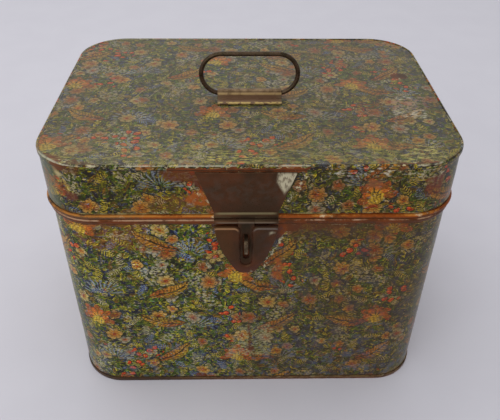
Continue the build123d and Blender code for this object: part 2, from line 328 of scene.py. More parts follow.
def gridPiece(name, rows, closed, toMap, materials):
    # faces between rows of points; closed joins each row's ends, and the first and last row get a cap
    work = bmesh.new()
    layer = work.loops.layers.uv.new("UVMap")
    grid = [[work.verts.new(point) for point in row] for row in rows]
    for low, high in zip(grid, grid[1:]):
        for left in range(len(low) - (not closed)):
            right = (left + 1) % len(low)
            work.faces.new((low[left], high[left], high[right], low[right]))
    if closed:
        work.faces.new(grid[0])
        work.faces.new(grid[-1][::-1])
        bmesh.ops.recalc_face_normals(work, faces=work.faces)
    for face in work.faces:
        for loop in face.loops:
            loop[layer].uv = toMap(loop.vert.co)
    return meshPiece(name, work, materials)


def joined(name, *parts):
    # one mesh of several, with their materials and UV maps
    bpy.ops.object.select_all(action="DESELECT")
    for part in parts:
        part.select_set(True)
    bpy.context.view_layer.objects.active = parts[0]
    bpy.ops.object.join()
    parts[0].name = parts[0].data.name = name
    return parts[0]


def baked(piece):
    # modifiers become part of the mesh
    bpy.context.view_layer.update()
    mesh = bpy.data.meshes.new_from_object(piece.evaluated_get(bpy.context.evaluated_depsgraph_get()))
    piece.modifiers.clear()
    old, piece.data = piece.data, mesh
    bpy.data.meshes.remove(old)
    mesh.name = piece.name
    return piece


def pressDents(piece, dents):
    # each dent is a place, a radius and a push, in millimetres
    for place, radius, push in dents:
        centre = Vector(place) * mm
        for vertex in piece.data.vertices:
            near = 1 - (vertex.co - centre).length / (radius * mm)
            if near > 0:
                vertex.co += Vector(push) * mm * (near * near * (3 - 2 * near))


def sweptBand(name, profile, outerCount, materials, values):
    # outerCount points of the profile make the outer skin
    line = lineObject(name + "Profile", [(out, -up) for out, up in profile])
    outer = profile[:outerCount]
    inputs = {key: values[key] * mm for key in ("step", "dentDepth", "dentSize", "freeLow", "freeHigh")}
    inputs["insideFrom"] = sum(math.dist(a, b) for a, b in zip(outer, outer[1:])) * mm
    inputs.update(profile=line, seed=values["seed"], outerMaterial=materials[0], innerMaterial=materials[1])
    piece = applied(lineObject(name + "Path", planPoints()), bandTree, inputs, name)
    bpy.data.objects.remove(line)
    return piece


bandTree = sweptBandTree()
print("shape tools ready")

# body of the tin: wall with a bead, a stepped neck and a hemmed mouth, lapped at the back
boxWall = {
    "low": 1.0,
    "beadLow": 138.1,
    "beadTop": 142.9,
    "beadProud": 1.4,
    "beadGapOut": 0.3,
    "beadGapIn": 1.0,
    "neckInset": 1.0,
    "neckTop": 152.0,
    "hem": 3.5,
    "seamWidth": 5.0,
    "seamProud": 0.4,
    "seamRound": 0.15,
    "seamSunk": 0.1,
    "seamLow": 2.8,
    "step": 2.5,
    "levelStep": 4.0,
    "dentDepth": 0.28,
    "dentSize": 60.0,
    "freeLow": 3.0,
    "freeHigh": 138.0,
    "seed": 2.0,
    # place, radius, push
    "dents": [
        ((97, -78, 60), 26, (-0.5, 0.35, 0)),
        ((-60, -84, 30), 30, (0, 0.5, 0)),
        ((40, 84, 80), 34, (0, -0.6, 0)),
        ((-115, 20, 70), 30, (0.6, 0, 0)),
    ],
}


def makeBoxWall(materials):
    size = boxWall
    sheet, proud, step = tin["sheet"], size["beadProud"], size["levelStep"]
    half = (size["beadTop"] - size["beadLow"]) / 2
    radius = (half ** 2 + proud ** 2) / (2 * proud)
    centre = (proud - radius, (size["beadLow"] + size["beadTop"]) / 2)
    outerTurn = math.degrees(math.asin(half / radius))
    innerTurn = math.degrees(math.acos((radius - proud - sheet) / (radius - sheet)))
    neck = -size["neckInset"]
    crown, hemLow = size["neckTop"] - sheet, size["neckTop"] - size["hem"]
    outer = [(0, up) for up in levels(size["low"], size["beadLow"] - size["beadGapOut"], step)]
    outer += arcPoints(centre, radius, -outerTurn, outerTurn, 12)
    outer += [(neck, size["beadTop"] - neck), (neck, crown)]
    inner = arcPoints((neck - sheet, crown), sheet, 0, 180, 6)[1:]
    inner += [(neck - 2 * sheet, hemLow), (neck - sheet, hemLow)]
    inner += [(neck - sheet, size["beadTop"] - neck - sheet)]
    inner += arcPoints(centre, radius - sheet, innerTurn, -innerTurn, 12)
    inner += [(-sheet, up) for up in levels(size["beadLow"] - size["beadGapIn"], size["low"], step)]
    wall = sweptBand("boxWall", outer + inner, len(outer), materials, size)
    pressDents(wall, size["dents"])
    return joined("boxWall", wall, makeSideSeam(wall, materials[0]))


def makeSideSeam(wall, material):
    # the wall's lapped ends, a low strip down the middle of the back that follows the dented wall
    size = boxWall
    half, proud, edge, sunk = size["seamWidth"] / 2, size["seamProud"], size["seamRound"], -size["seamSunk"]
    section = [(-half, sunk), (-half, proud - edge), (-half + edge, proud), (0, proud)]
    section += [(half - edge, proud), (half, proud - edge), (half, sunk)]
    behind = tin["halfDepth"] + 20  # a place well outside

    def onWall(x, out, up):
        _, hit, _, _ = wall.ray_cast(Vector((x, behind, up)) * mm, Vector((0, -1, 0)))
        return hit + Vector((0, out, 0)) * mm

    heights = levels(size["seamLow"], size["beadLow"], size["step"])
    rows = [[onWall(x, out, up) for x, out in section] for up in heights]
    return smoothed(gridPiece("sideSeam", rows, True, lambda co: (-co.x, co.z), [material]))


# lid wall with its wired edge
lidWall = {
    "inner": 0.9,
    "curlOut": 1.2,
    "curlRadius": 1.2,
    "joggle": 1.0,
    "knee": (0.2, 0.15),
    "step": 2.5,
    "levelStep": 3.0,
    "dentDepth": 0.16,
    "dentSize": 45.0,
    "freeLow": 146.0,
    "freeHigh": 177.5,
    "seed": 5.0,
    "dents": [
        ((103, -74, 171), 17, (-1.0, 0.9, 0.2)),
        ((-101, -78, 168), 16, (0.4, 0.4, 0)),
        ((60, -86, 158), 22, (0, 0.4, 0)),
    ],
}


def makeLidWall(materials):
    size = lidWall
    sheet, curl, step = tin["sheet"], size["curlRadius"], size["levelStep"]
    centre = (size["curlOut"], tin["lidEdge"] + curl)
    kneeLow = centre[1] + sheet
    kneeTop = centre[1] + curl + size["joggle"]
    wallTop = tin["lidTop"] - sheet
    outer = arcPoints(centre, curl, 180, 450, 24)
    outer += [(centre[0], centre[1] + curl - sheet), (sheet + size["knee"][0], kneeLow + size["knee"][1])]
    outer += [(tin["lidOut"], up) for up in levels(kneeTop, wallTop, step)]
    inner = [(size["inner"], up) for up in levels(wallTop, kneeTop, step)] + [(0, kneeLow)]
    wall = sweptBand("lidWall", outer + inner, len(outer), materials, size)
    pressDents(wall, size["dents"])
    return wall


# lid top: a rolled rim swept round, and a panel with a slight sag
lidTop = {
    "rimLow": 174.5,
    "rimOut": 2.0,
    "rimRound": 1.0,
    "rimSlope": (0.25, 0.05),
    "lipRound": 0.3,
    "panelOut": 0.5,
    "panelLap": 0.1,
    "panelDrop": 0.5,
    "step": 2.0,
    "dentDepth": 0.12,
    "dentSize": 40.0,
    "freeLow": 100.0,
    "freeHigh": 300.0,
    "seed": 9.0,
    "cell": 3.0,
    "sag": 0.5,
    "ripple": 0.35,
    "rippleSize": 55.0,
    "stiffShare": 6,        # sag and ripple reach full strength a sixth of the way in
    "dents": [
        ((103, -74, 177), 15, (-0.9, 0.9, -0.9)),
        ((-103, -76, 177), 10, (0.3, 0.3, -0.3)),
        ((52, -86, 177), 16, (0, 0.3, -0.3)),
    ],
}


def roundedShare(x, y, halfX, halfY, radius):
    # how far the rounded outline lies along the ray to (x, y), as a share of the way to the plain rectangle
    most = max(abs(x) / halfX, abs(y) / halfY)
    if most < 1e-9:
        return 1.0
    edgeX, edgeY = abs(x) / most, abs(y) / most
    cornerX, cornerY = halfX - radius, halfY - radius
    if edgeX <= cornerX or edgeY <= cornerY:
        return 1.0
    along = edgeX ** 2 + edgeY ** 2
    toCentre = edgeX * cornerX + edgeY * cornerY
    spare = toCentre ** 2 - along * (cornerX ** 2 + cornerY ** 2 - radius ** 2)
    return (toCentre + math.sqrt(spare)) / along


def makeLidRim(materials):
    size = lidTop
    top, out, lip, crest = tin["lidTop"], size["panelOut"], size["lipRound"], size["rimRound"]
    level = top - size["panelDrop"]
    profile = [(tin["lidOut"], size["rimLow"])]
    profile += arcPoints((size["rimOut"] - lip, size["rimLow"] + lip), lip, -90, 0, 4)
    profile += arcPoints((size["rimOut"] - crest, top - crest), crest, 0, 90, 8)
    profile += [(out + size["rimSlope"][0], top - size["rimSlope"][1]), (out, level)]
    profile += [(out, level - tin["sheet"]), (tin["lidOut"], level - tin["sheet"])]
    return sweptBand("lidRim", profile, len(profile) - 2, materials, size)


def makeLidPanel(materials):
    size = lidTop
    level = tin["lidTop"] - size["panelDrop"]
    grow = size["panelOut"] + size["panelLap"]
    halfX, halfY, radius = [tin[length] + grow for length in ("halfWidth", "halfDepth", "corner")]

    def onPanel(x, y):
        edge = max(abs(x) / halfX, abs(y) / halfY)
        share = 1 + (roundedShare(x, y, halfX, halfY, radius) - 1) * edge ** 4
        inward = min(1.0, (1 - edge) * size["stiffShare"])
        wave = noise.noise(Vector((x, y, size["seed"])) / size["rippleSize"])
        drop = size["sag"] * (1 - edge ** 2) - size["ripple"] * wave * inward
        return (x * share * mm, y * share * mm, (level - drop * inward) * mm)

    across, deep = levels(-halfX, halfX, size["cell"]), levels(-halfY, halfY, size["cell"])
    rows = [[onPanel(x, y) for y in deep] for x in across]
    panel = gridPiece("lidPanel", rows, False, lambda co: co.xy, materials)
    solid = panel.modifiers.new("sheet", "SOLIDIFY")
    solid.thickness = tin["sheet"] * mm
    solid.offset = -1
    solid.material_offset = 1
    return baked(panel)


def makeLidTop(rimMaterials, panelMaterials):
    lid = smoothed(joined("lidTop", makeLidRim(rimMaterials), makeLidPanel(panelMaterials)))
    pressDents(lid, lidTop["dents"])
    return lid


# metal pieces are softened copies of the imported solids: body, slot, finish, and the round of their edges
softPieces = {
    "box_base": ("box", "base_tin", "brownLacquer", 0.15),
    "staple": ("box", "staple_steel", "stapleSteel", 0.18),
    "left_hinge_box_leaf": ("box", "hinge_steel", "brownedSteel", 0.1),
    "right_hinge_box_leaf": ("box", "hinge_steel", "brownedSteel", 0.1),
    "left_hinge_lid_leaf": ("lid", "hinge_steel", "brownedSteel", 0.1),
    "right_hinge_lid_leaf": ("lid", "hinge_steel", "brownedSteel", 0.1),
    "hasp_plate": ("lid", "browned_steel", "brownedSteel", 0.1),
    "handle_strap": ("lid", "handle_strap", "strapBrown", 0.12),
    "hasp": ("hasp", "browned_steel", "brownedSteel", 0.3),
}


def softened(node, width, materials):
    # the solid's loose triangles are merged into clean faces, then its edges get a small round
    work = bmesh.new()
    work.from_mesh(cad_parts[node].data)
    bmesh.ops.remove_doubles(work, verts=work.verts, dist=1e-6)
    flat = math.radians(0.5)
    bmesh.ops.dissolve_limit(work, angle_limit=flat, verts=work.verts, edges=work.edges, delimit=set())
    piece = meshPiece(node + "Soft", work, materials)
    bevel = piece.modifiers.new("round", "BEVEL")
    bevel.width = width * mm
    bevel.segments = 2
    bevel.limit_method = "ANGLE"
    bevel.angle_limit = math.radians(35)
    # the round's faces take the second material: worn edges, lighter also as a painted highlight
    bevel.material = 1
    return smoothed(baked(piece), 50)


# printed pattern: generic leaves, blossoms and berries, drawn in millimetres
fullTurn = 6.283


def scattered(place, cell, shift, jitter=1.0):
    # the nearest of many scattered centres: the place around it, and three random shares
    spaced = vectorNode("ADD", scaled(place, 1 / cell), (shift, shift * 0.7, 0))
    inputs = {"Vector": spaced, "Scale": 1.0, "Randomness": jitter}
    node = addNode(place.tree, "ShaderNodeTexVoronoi", inputs, voronoi_dimensions="2D")
    away = vectorNode("SUBTRACT", spaced, Wire(node.outputs["Position"]))
    return scaled(away, cell), splitVector(Wire(node.outputs["Color"]))


def strewn(place, cell, shift, jitter=1.0):
    # the same, each turned its own way
    around, picks = scattered(place, cell, shift, jitter)
    return turned(around, picks[0] * fullTurn), picks


def lattice(place, width, height, shiftX, shiftY):
    # rows and columns, every second column half a row lower
    x, y, _ = splitVector(place)
    x = (x + shiftX) / width
    column = x.calc("FLOOR")
    y = (y + shiftY) / height + column.calc("MODULO", 2.0) * 0.5
    row = y.calc("FLOOR")
    cell = joinVector(column, row)
    pick = nodeWire("ShaderNodeTexWhiteNoise", {"Vector": cell}, "Color", noise_dimensions="2D")
    return joinVector((x - column - 0.5) * width, (y - row - 0.5) * height), splitVector(pick)


def farFrom(x, y):
    return (x * x + y * y).calc("SQRT")


def leafShape(around, length, width, curve):
    # 1 inside a pointed leaf lying along x; also how far along and across it the place is, -1 to 1
    x, y, _ = splitVector(around)
    along = x / (length / 2)
    across = (y - x * x * curve) / (width / 2)
    return fade(1 - along * along - abs(across), 0.0, 0.12), along, across


def blossomShape(around, radius, petals, deep, point=1.0):
    # 1 inside a flower; also the distance from its middle as a share, and the petal wave
    x, y, _ = splitVector(around)
    distance = farFrom(x, y) / radius
    wave = abs((y.calc("ARCTAN2", x) * (petals / 2)).calc("COSINE")).calc("POWER", point)
    return fade(wave * deep + (1 - deep) - distance, 0.0, 0.08), distance, wave


# display colours; lists run from a random share to the colour it picks
inks = {
    "ground": (40, 42, 30),
    "groundBlue": (34, 40, 66),
    "stem": (120, 122, 46),
    "fineLeaves": [
        (0.0, (50, 58, 26)),
        (0.12, (116, 124, 34)),
        (0.38, (96, 126, 40)),
        (0.56, (84, 98, 124)),
        (0.7, (76, 90, 38)),
        (0.82, (182, 174, 56)),
        (0.94, (166, 162, 130)),
    ],
    "broadLeaves": [
        (0.0, (78, 98, 32)),
        (0.28, (130, 134, 42)),
        (0.5, (66, 78, 96)),
        (0.64, (138, 112, 44)),
        (0.84, (90, 120, 44)),
    ],
    "sprigs": [(0.0, (168, 164, 132)), (0.3, (108, 124, 152)), (0.65, (172, 160, 72))],
    "floret": (176, 174, 148),
    "blossoms": [
        (0.0, (170, 128, 66)),
        (0.24, (182, 164, 96)),
        (0.44, (146, 102, 60)),
        (0.66, (156, 152, 128)),
        (0.76, (186, 146, 64)),
    ],
    "blossomPale": (168, 164, 132),
    "blossomHeart": (150, 74, 34),
    "berry": (190, 80, 36),
    "berryRing": (40, 30, 22),
    "berryLight": (220, 140, 84),
    "plume": (178, 140, 58),
    "plumeWarm": (160, 94, 42),
    "plumeGreen": (130, 134, 42),
    "ink": (58, 48, 26),
    "lotus": (200, 134, 56),
    "lotusTip": (172, 92, 42),
    "lotusCup": (194, 172, 68),
    "spray": (132, 144, 152),
    "strokes": [
        (0.0, (192, 186, 62)),
        (0.43, (218, 208, 166)),
        (0.47, (140, 154, 174)),
        (0.53, (160, 174, 58)),
        (0.6, (206, 176, 96)),
    ],
    "darkStrokes": [(0.0, (26, 28, 14)), (0.44, (26, 30, 52)), (0.56, (48, 30, 16))],
}
motifs = {
    # scale, shift
    "stems": [(0.05, 3.0), (0.08, 41.0)],
    # spacing, length, width, colours, shift, share left out
    "leaves": [
        (2.9, 4.6, 1.7, "fineLeaves", 0.0, 0.05),
        (4.9, 8.0, 2.9, "broadLeaves", 17.0, 0.25),
        (3.3, 4.8, 1.7, "fineLeaves", 31.0, 0.3),
        (5.3, 7.4, 2.3, "broadLeaves", 53.0, 0.55),
    ],
    # spacing, radius, petals, shift, share left out
    "blossoms": [(13.0, 3.9, 5, 2.0, 0.66), (19.0, 5.6, 7, 9.0, 0.6)],
    # spacing, shift, and how irregular
    "sprigs": (9.0, 71.0, 0.8),
    "florets": (2.1, 5.0),
    "berries": (6.2, 13.0, 0.75),
    # width and height of a cell, shifts; for the plumes also their turn and bend
    "spikes": (54.0, 62.0, 12.0, 40.0),
    "fans": (88.0, 74.0, 30.0, 12.0),
    "plumes": [(58.0, 66.0, 0.0, 8.0, 0.4, 0.014), (66.0, 58.0, 37.0, 31.0, 2.6, -0.016)],
    # radius, turn, strength
    "fanRings": [(11.5, 0.0, 0.85), (8.4, 0.45, 1.0)],
    # stretch, shift, level, strength, colours
    "strokes": [
        ((0.34, 1.5, 1.0), 11.0, 0.6, 0.7, "strokes"),
        ((1.2, 0.42, 1.0), 57.0, 0.65, 0.5, "strokes"),
        ((0.4, 1.4, 1.0), 33.0, 0.57, 0.7, "darkStrokes"),
    ],
}


def leafPrint():
    inputs = {"Place": (0.0, 0.0, 0.0)}
    tree, given, result = nodeGroup("leafPrint", "ShaderNodeTree", inputs, {"Colour": "Color"})
    # hand-cut blocks are never quite regular, so the whole drawing is gently pulled about
    inputs = {"Vector": given["Place"], "Scale": 0.11, "Detail": 2.0}
    pull = vectorNode("SUBTRACT", nodeWire("ShaderNodeTexNoise", inputs, "Color"), (0.5, 0.5, 0.5))
    place = vectorNode("ADD", given["Place"], scaled(pull, 5.0))
    colour = mixColour(fade(noiseWire(place, 0.05), 0.38, 0.54), inks["ground"], inks["groundBlue"])

    def layer(mask, tint):
        nonlocal colour
        colour = mixColour(mask, colour, tint)

    def hatched(tint, wave, share, ink="ink"):
        return mixColour(fade(wave.calc("SINE"), -0.1, 0.8) * share, tint, inks[ink])

    # wandering stems
    for scale, shift in motifs["stems"]:
        wander = noiseWire(vectorNode("ADD", place, (shift, shift, 0)), scale, 1.0)
        layer(fade(abs(wander - 0.5), 0.012, 0.006), inks["stem"])
    # scattered leaves, each lit on one half and dark along its rib
    for cell, length, width, stops, shift, share in motifs["leaves"]:
        around, picks = strewn(place, cell, shift)
        mask, _, across = leafShape(around, length, width, 0.07)
        tint = rampColour(picks[1], inks[stops])
        dark = [fade(across, 0.0, 0.3) * 0.4, fade(abs(across), 0.24, 0.1) * 0.75]
        layer(mask * (picks[2] > share), layered(tint, inks, [(part, "ground") for part in dark]))
    # fine-ribbed pale sprigs
    around, picks = strewn(place, *motifs["sprigs"])
    mask, along, across = leafShape(around, 13.0, 4.6, 0.03)
    ribs = fade((along * 30.0 + abs(across) * 5.0).calc("SINE"), -0.2, 0.5)
    layer(mask * ribs * (picks[2] > 0.62), rampColour(picks[1], inks["sprigs"]))
    # clouds of tiny florets
    around, _ = scattered(place, *motifs["florets"])
    dots, _, _ = blossomShape(around, 0.95, 4, 0.3)
    layer(dots * fade(noiseWire(place, 0.045, 1.0), 0.6, 0.64) * 0.7, inks["floret"])
    # fans of blue-grey spikes
    around, _ = lattice(place, *motifs["spikes"])
    x, y, _ = splitVector(around)
    angle = x.calc("ARCTAN2", y)
    spikes = fade(abs((angle * 11.0).calc("COSINE")), 0.7, 0.9) * fade(abs(angle), 1.6, 1.4)
    layer(spikes * fade(abs(farFrom(x, y) - 7.5), 5.0, 4.2) * 0.85, inks["spray"])
    # small open blossoms in two sizes, with hatched petals
    for cell, radius, petals, shift, share in motifs["blossoms"]:
        around, picks = strewn(place, cell, shift, 0.85)
        mask, distance, wave = blossomShape(around, radius, petals, 0.34, 0.6)
        inner, _, _ = blossomShape(turned(around, 0.5), radius * 0.58, petals, 0.3, 0.7)
        x, y, _ = splitVector(around)
        tint = hatched(rampColour(picks[1], inks["blossoms"]), y.calc("ARCTAN2", x) * (petals * 5.0), 0.35)
        tint = layered(tint, inks, [
            (fade(wave, 0.5, 0.15) * fade(distance, 0.2, 0.5) * 0.7, "ink"),
            (fade(distance, 0.4, 1.0) * 0.35, "blossomPale"),
            (inner * 0.45, "plumeWarm"),
            (fade(distance, 0.26, 0.18), "blossomHeart"),
        ])
        shown = picks[2] > share
        layer(fade(distance, 1.2, 1.05) * shown * 0.5, inks["ground"])
        layer(mask * shown, tint)
    # berries in loose groups, each with a dark ring and a light spot
    around, _ = scattered(place, *motifs["berries"])
    x, y, _ = splitVector(around)
    reach = (x * x + y * y * 1.3).calc("SQRT")
    group = fade(noiseWire(vectorNode("ADD", place, (91, 17, 0)), 0.032, 1.0), 0.63, 0.65)
    layer(fade(reach, 2.4, 2.1) * group, inks["berryRing"])
    layer(fade(reach, 1.9, 1.6) * group, inks["berry"])
    layer(fade(farFrom(x + 0.5, y - 0.6), 0.8, 0.3) * group * 0.7, inks["berryLight"])
    # ochre plume leaves, curved, with a barbed blade
    for *cells, lean, curve in motifs["plumes"]:
        around, picks = lattice(place, *cells)
        around = turned(around, (picks[0] - 0.5) * 0.8 + lean)
        mask, along, across = leafShape(around, 31.0, 9.0, curve)
        shadow, _, _ = leafShape(around, 33.5, 11.0, curve)
        shown = picks[2] > 0.3
        tones = [(fade(along, -0.5, 0.7), "plumeWarm"), (fade(across, 0.1, 0.7) * 0.5, "plumeGreen")]
        tint = layered(inks["plume"], inks, tones)
        tint = hatched(tint, along * 44.0 + abs(across) * 8.0, 0.55)
        tint = mixColour(fade(abs(across), 0.16, 0.06), tint, inks["ink"])
        layer(shadow * shown * 0.6, inks["ground"])
        layer(mask * shown, tint)
    # fan-shaped blossoms: pointed petals over a pale cup
    around, picks = lattice(place, *motifs["fans"])
    x, y, _ = splitVector(turned(around, (picks[0] - 0.5) * 0.9))
    angle = x.calc("ARCTAN2", y)
    opened = fade(abs(angle), 2.2, 2.0)
    for radius, turn, share in motifs["fanRings"]:
        distance = farFrom(x, y) / radius
        petal = abs(((angle + turn) * 3.5).calc("COSINE"))
        mask = fade(petal.calc("POWER", 0.9) * 0.62 + 0.38 - distance, 0.0, 0.06) * opened
        tones = [(fade(distance, 0.35, 1.0), "lotusTip"), (fade(distance, 0.5, 0.15), "lotusCup")]
        tint = layered(inks["lotus"], inks, tones)
        tint = hatched(tint, angle * 44.0, 0.3, "plumeWarm")
        tint = mixColour(fade(petal, 0.55, 0.25), tint, inks["ink"])
        layer(fade(distance, 1.15, 1.0) * opened * 0.35, inks["ground"])
        layer(mask * share, tint)
    cup = (x * x * 0.35 + (y + 2.4) * (y + 2.4)).calc("SQRT")
    layer(fade(cup, 3.0, 2.6), hatched(inks["lotusCup"], x * 3.0, 0.4))
    # short engraved strokes, pale and dark, that break every shape up
    pick = noiseWire(place, 0.22, 1.0)
    for squash, shift, low, share, stops in motifs["strokes"]:
        along = vectorNode("MULTIPLY", vectorNode("ADD", place, (shift, shift, 0)), squash)
        layer(fade(noiseWire(along, 1.0, 2.0), low, low + 0.05) * share, rampColour(pick, inks[stops]))
    # the print's fine engraved grain
    grain = noiseWire(vectorNode("MULTIPLY", place, (0.7, 1.6, 1.0)), 1.0, 2.0)
    layer(fade(grain, 0.62, 0.34) * 0.5, inks["ground"])
    plug(result["Colour"], colour)
    return tree


# age: browned varnish, bare worn patches with primer at their edges, scratches and specks
age = {
    "varnish": (222, 192, 134),
    "film": (86, 72, 54),
    "bare": (112, 56, 26),
    "bareDark": (62, 37, 24),
    "primer": (186, 174, 134),
    # dust, which over the hazed top also gives a painted sheen
    "dustAndSheen": (150, 144, 134),
    "scratch": (170, 152, 112),
    "rust": (44, 28, 22),
    "varnishTint": (1.0, 0.84, 0.45, 1.0),
}


def ageingGroup():
    inputs = {
        "Colour": (0.1, 0.1, 0.1, 1.0),
        "Place": (0.0, 0.0, 0.0),
        "Wear": 0.0,
        "Warmth": 0.3,
        "Haze": 0.0,
        "Primer": 0.5,
    }
    outputs = {"Colour": "Color", "Roughness": "Float", "Coat": "Float", "Height": "Float"}
    tree, given, result = nodeGroup("ageing", "ShaderNodeTree", inputs, outputs)
    place = given["Place"]
    patchy = noiseWire(place, 0.035, 4.0, 0.6)
    warm = (given["Warmth"] + (patchy - 0.5) * 1.2).calc("MAXIMUM", 0.0).calc("MINIMUM", 1.0)
    colour = mixColour(warm, given["Colour"], age["varnish"], "MULTIPLY")
    # where wear passes a level the print is gone; primer shows at the patch's edge
    rough = noiseWire(place, 0.16, 6.0, 0.62)
    wear = rough + given["Wear"] - 0.5
    bare = fade(wear, 0.2, 0.23)
    edge = fade(wear, 0.14, 0.17) * (1 - bare)
    flake = fade(noiseWire(place, 0.22, 4.0), 0.5, 0.56) * given["Primer"]
    metal = mixColour(fade(noiseWire(place, 0.07, 5.0, 0.6), 0.36, 0.62), age["bareDark"], age["bare"])
    # long thin scratches in two directions
    marks = 0.0
    for angle, stretch in ((0.3, 0.02), (2.0, 0.03)):
        line = vectorNode("MULTIPLY", turned(place, angle), (stretch, 0.9, 0.4))
        marks = fade(noiseWire(line, 1.0, 2.0), 0.7, 0.725) + marks
    # dark specks of rust
    around, picks = scattered(place, 6.0, 3.0)
    beyond = vectorNode("LENGTH", around, output=1) - (picks[0] * 0.5 + 0.1)
    speck = fade(beyond, 0.1, 0.0) * (picks[1] > 0.6)
    colour = layered(colour, {**age, "metal": metal}, [
        (warm * 0.36, "film"),
        (bare, "metal"),
        (edge * flake, "primer"),
        (marks.calc("MINIMUM", 1.0) * 0.4, "scratch"),
        (speck * 0.8, "rust"),
        # dust where the varnish is hazed, also a painted sheen
        (given["Haze"] * (patchy * 0.8 + 0.3), "dustAndSheen"),
    ])
    plug(result["Colour"], colour)
    plug(result["Roughness"], 0.3 + bare * 0.08 + given["Haze"] * 0.35 + (rough - 0.5) * 0.25)
    plug(result["Coat"], (1 - bare * 0.3) * (1 - given["Haze"]))
    plug(result["Height"], (1 - bare) * 0.6 + (rough - 0.5) * 0.5 + marks * -0.2)
    return tree


printGroup = leafPrint()
ageing = ageingGroup()


def combined(operation, wires):
    return reduce(lambda first, second: first.calc(operation, second), wires)


def insideOutline(across, up, corners):
    # how far inside a convex outline a place lies, in millimetres; corners run anticlockwise
    depths = []
    for (ax, ay), (bx, by) in zip(corners, corners[1:] + corners[:1]):
        length = math.dist((ax, ay), (bx, by))
        normalX, normalY = (ay - by) / length, (bx - ax) / length
        depths.append(across * normalX + up * normalY - (ax * normalX + ay * normalY))
    return combined("MINIMUM", depths)


def patches(across, up, outlines, ragged):
    # 1 inside any of several worn outlines, with uneven edges
    shake = (noiseWire(joinVector(across, up), 0.2, 5.0, 0.65) - 0.5) * ragged * 4
    depths = [insideOutline(across, up, corners) + shake for corners in outlines]
    return fade(combined("MAXIMUM", depths), -1.2, 1.2)


def chipLine(across, up, start, end, half):
    # flecks of primer along a worn edge
    length = math.dist(start, end)
    alongX, alongY = (end[0] - start[0]) / length, (end[1] - start[1]) / length
    along = (across - start[0]) * alongX + (up - start[1]) * alongY
    aside = (up - start[1]) * alongX - (across - start[0]) * alongY
    flat = joinVector(across, up)
    wander = (noiseWire(flat, 0.16) - 0.5) * 7.0
    near = fade(abs(aside - wander - 1.6), half, half * 0.3)
    near = near * fade(along, 0, 2) * fade(along, length, length - 2)
    return near * fade(noiseWire(flat, 0.45, 5.0, 0.7), 0.5, 0.6)


def marked(colour, across, up, masks, marks):
    # stains and chips: outlines, how ragged, mask, share and colour; two points make a chipped line
    for outlines, ragged, mask, share, tint in marks:
        where = masks.get(mask, 1.0)
        if outlines and len(outlines[0]) == 2:
            where = chipLine(across, up, *outlines[0], ragged) * masks["face"] * where
        elif outlines:
            where = patches(across, up, outlines, ragged) * masks["face"] * where
        colour = mixColour(where * share, colour, tint)
    return colour


def newMaterial(name):
    material = bpy.data.materials.new(name)
    material.use_nodes = True
    tree = material.node_tree
    tree.nodes.clear()
    shader = addNode(tree, "ShaderNodeBsdfPrincipled")
    surface = addNode(tree, "ShaderNodeOutputMaterial")
    tree.links.new(shader.outputs[0], surface.inputs[0])
    # object coordinates in millimetres
    place = scaled(nodeWire("ShaderNodeTexCoord", {}, "Object", tree), 1000)
    return material, shader.inputs, place


def setSurface(shader, gloss, height, distance):
    shader["Specular IOR Level"].default_value = gloss
    shader["Specular Tint"].default_value = age["varnishTint"]
    inputs = {"Height": height, "Distance": distance * mm, "Strength": 1.0}
    plug(shader["Normal"], nodeWire("ShaderNodeBump", inputs))


def edgeBands(place, colour, bands):
    # worn lines, painted highlights and painted shade along an edge: level, half width, colour,
    # strength and how broken, and for some how much fuller they get to the left, and from where
    x, _, z = splitVector(place)
    for level, half, tint, share, gap, *lean in bands:
        moved = vectorNode("ADD", place, (level * 7, level * 3, 0))
        edge = half + (noiseWire(moved, 0.5, 2.0) - 0.5) * half
        broken = noiseWire(moved, 0.07, 8.0, 0.75)
        if lean:
            broken = broken + fade(x, lean[1], lean[1] - 80) * lean[0]
        mask = fade(abs(z - level) - edge, 0.25, -0.15) * fade(broken, gap - 0.03, gap + 0.1)
        colour = mixColour(mask * share, colour, tint)
    return colour


def printedMaterial(name, look):
    material, shader, place = newMaterial(name)
    x, y, z = splitVector(place)
    if look["flat"]:
        drawn, up = joinVector(x, y), y
    else:
        # lengths round the band, from its UV map
        unrolled = scaled(nodeWire("ShaderNodeUVMap", {}, 0, place.tree, uv_map="UVMap"), 1000)
        drawn, up = joinVector(splitVector(unrolled)[0], z), z
    colour = useGroup(printGroup, Place=vectorNode("ADD", drawn, look["shift"]))["Colour"]
    colour = nodeWire("ShaderNodeGamma", {"Color": colour, "Gamma": look["depth"]})
    colour = mixColour(1.0, colour, (*look["gain"], 1.0), "MULTIPLY")
    masks = look["masks"](x, y, z)
    wear = masks["wear"] + look["wear"]
    warmth = fade(x, -50, 60) * look["warmRight"] + look["warmth"]
    amounts = {"Wear": wear, "Warmth": warmth, "Haze": look["haze"], "Primer": look["primer"]}
    aged = useGroup(ageing, Colour=colour, Place=place, **amounts)
    colour = marked(aged["Colour"], x, up, masks, look["marks"])
    plug(shader["Base Color"], edgeBands(place, colour, look["bands"]))
    plug(shader["Roughness"], aged["Roughness"])
    plug(shader["Coat Weight"], aged["Coat"] * look["coat"])
    shader["Coat Roughness"].default_value = look["coatRoughness"]
    setSurface(shader, look["gloss"], aged["Height"], 0.06)
    return material


def frontOnly(y):
    # 1 on the front, from about 80 mm out
    return fade(y, -79.0, -81.0)


def wallWear(x, z, face, look):
    # print is rubbed all round at some levels, and off in a few outlines on the front
    rubbed = [fade(z, start, end) * share for start, end, share in look["rubbedLevels"]]
    bare = patches(x, z, look["bare"], look["bareRagged"]) * face
    return combined("ADD", [*rubbed, bare * look["bareShare"]])


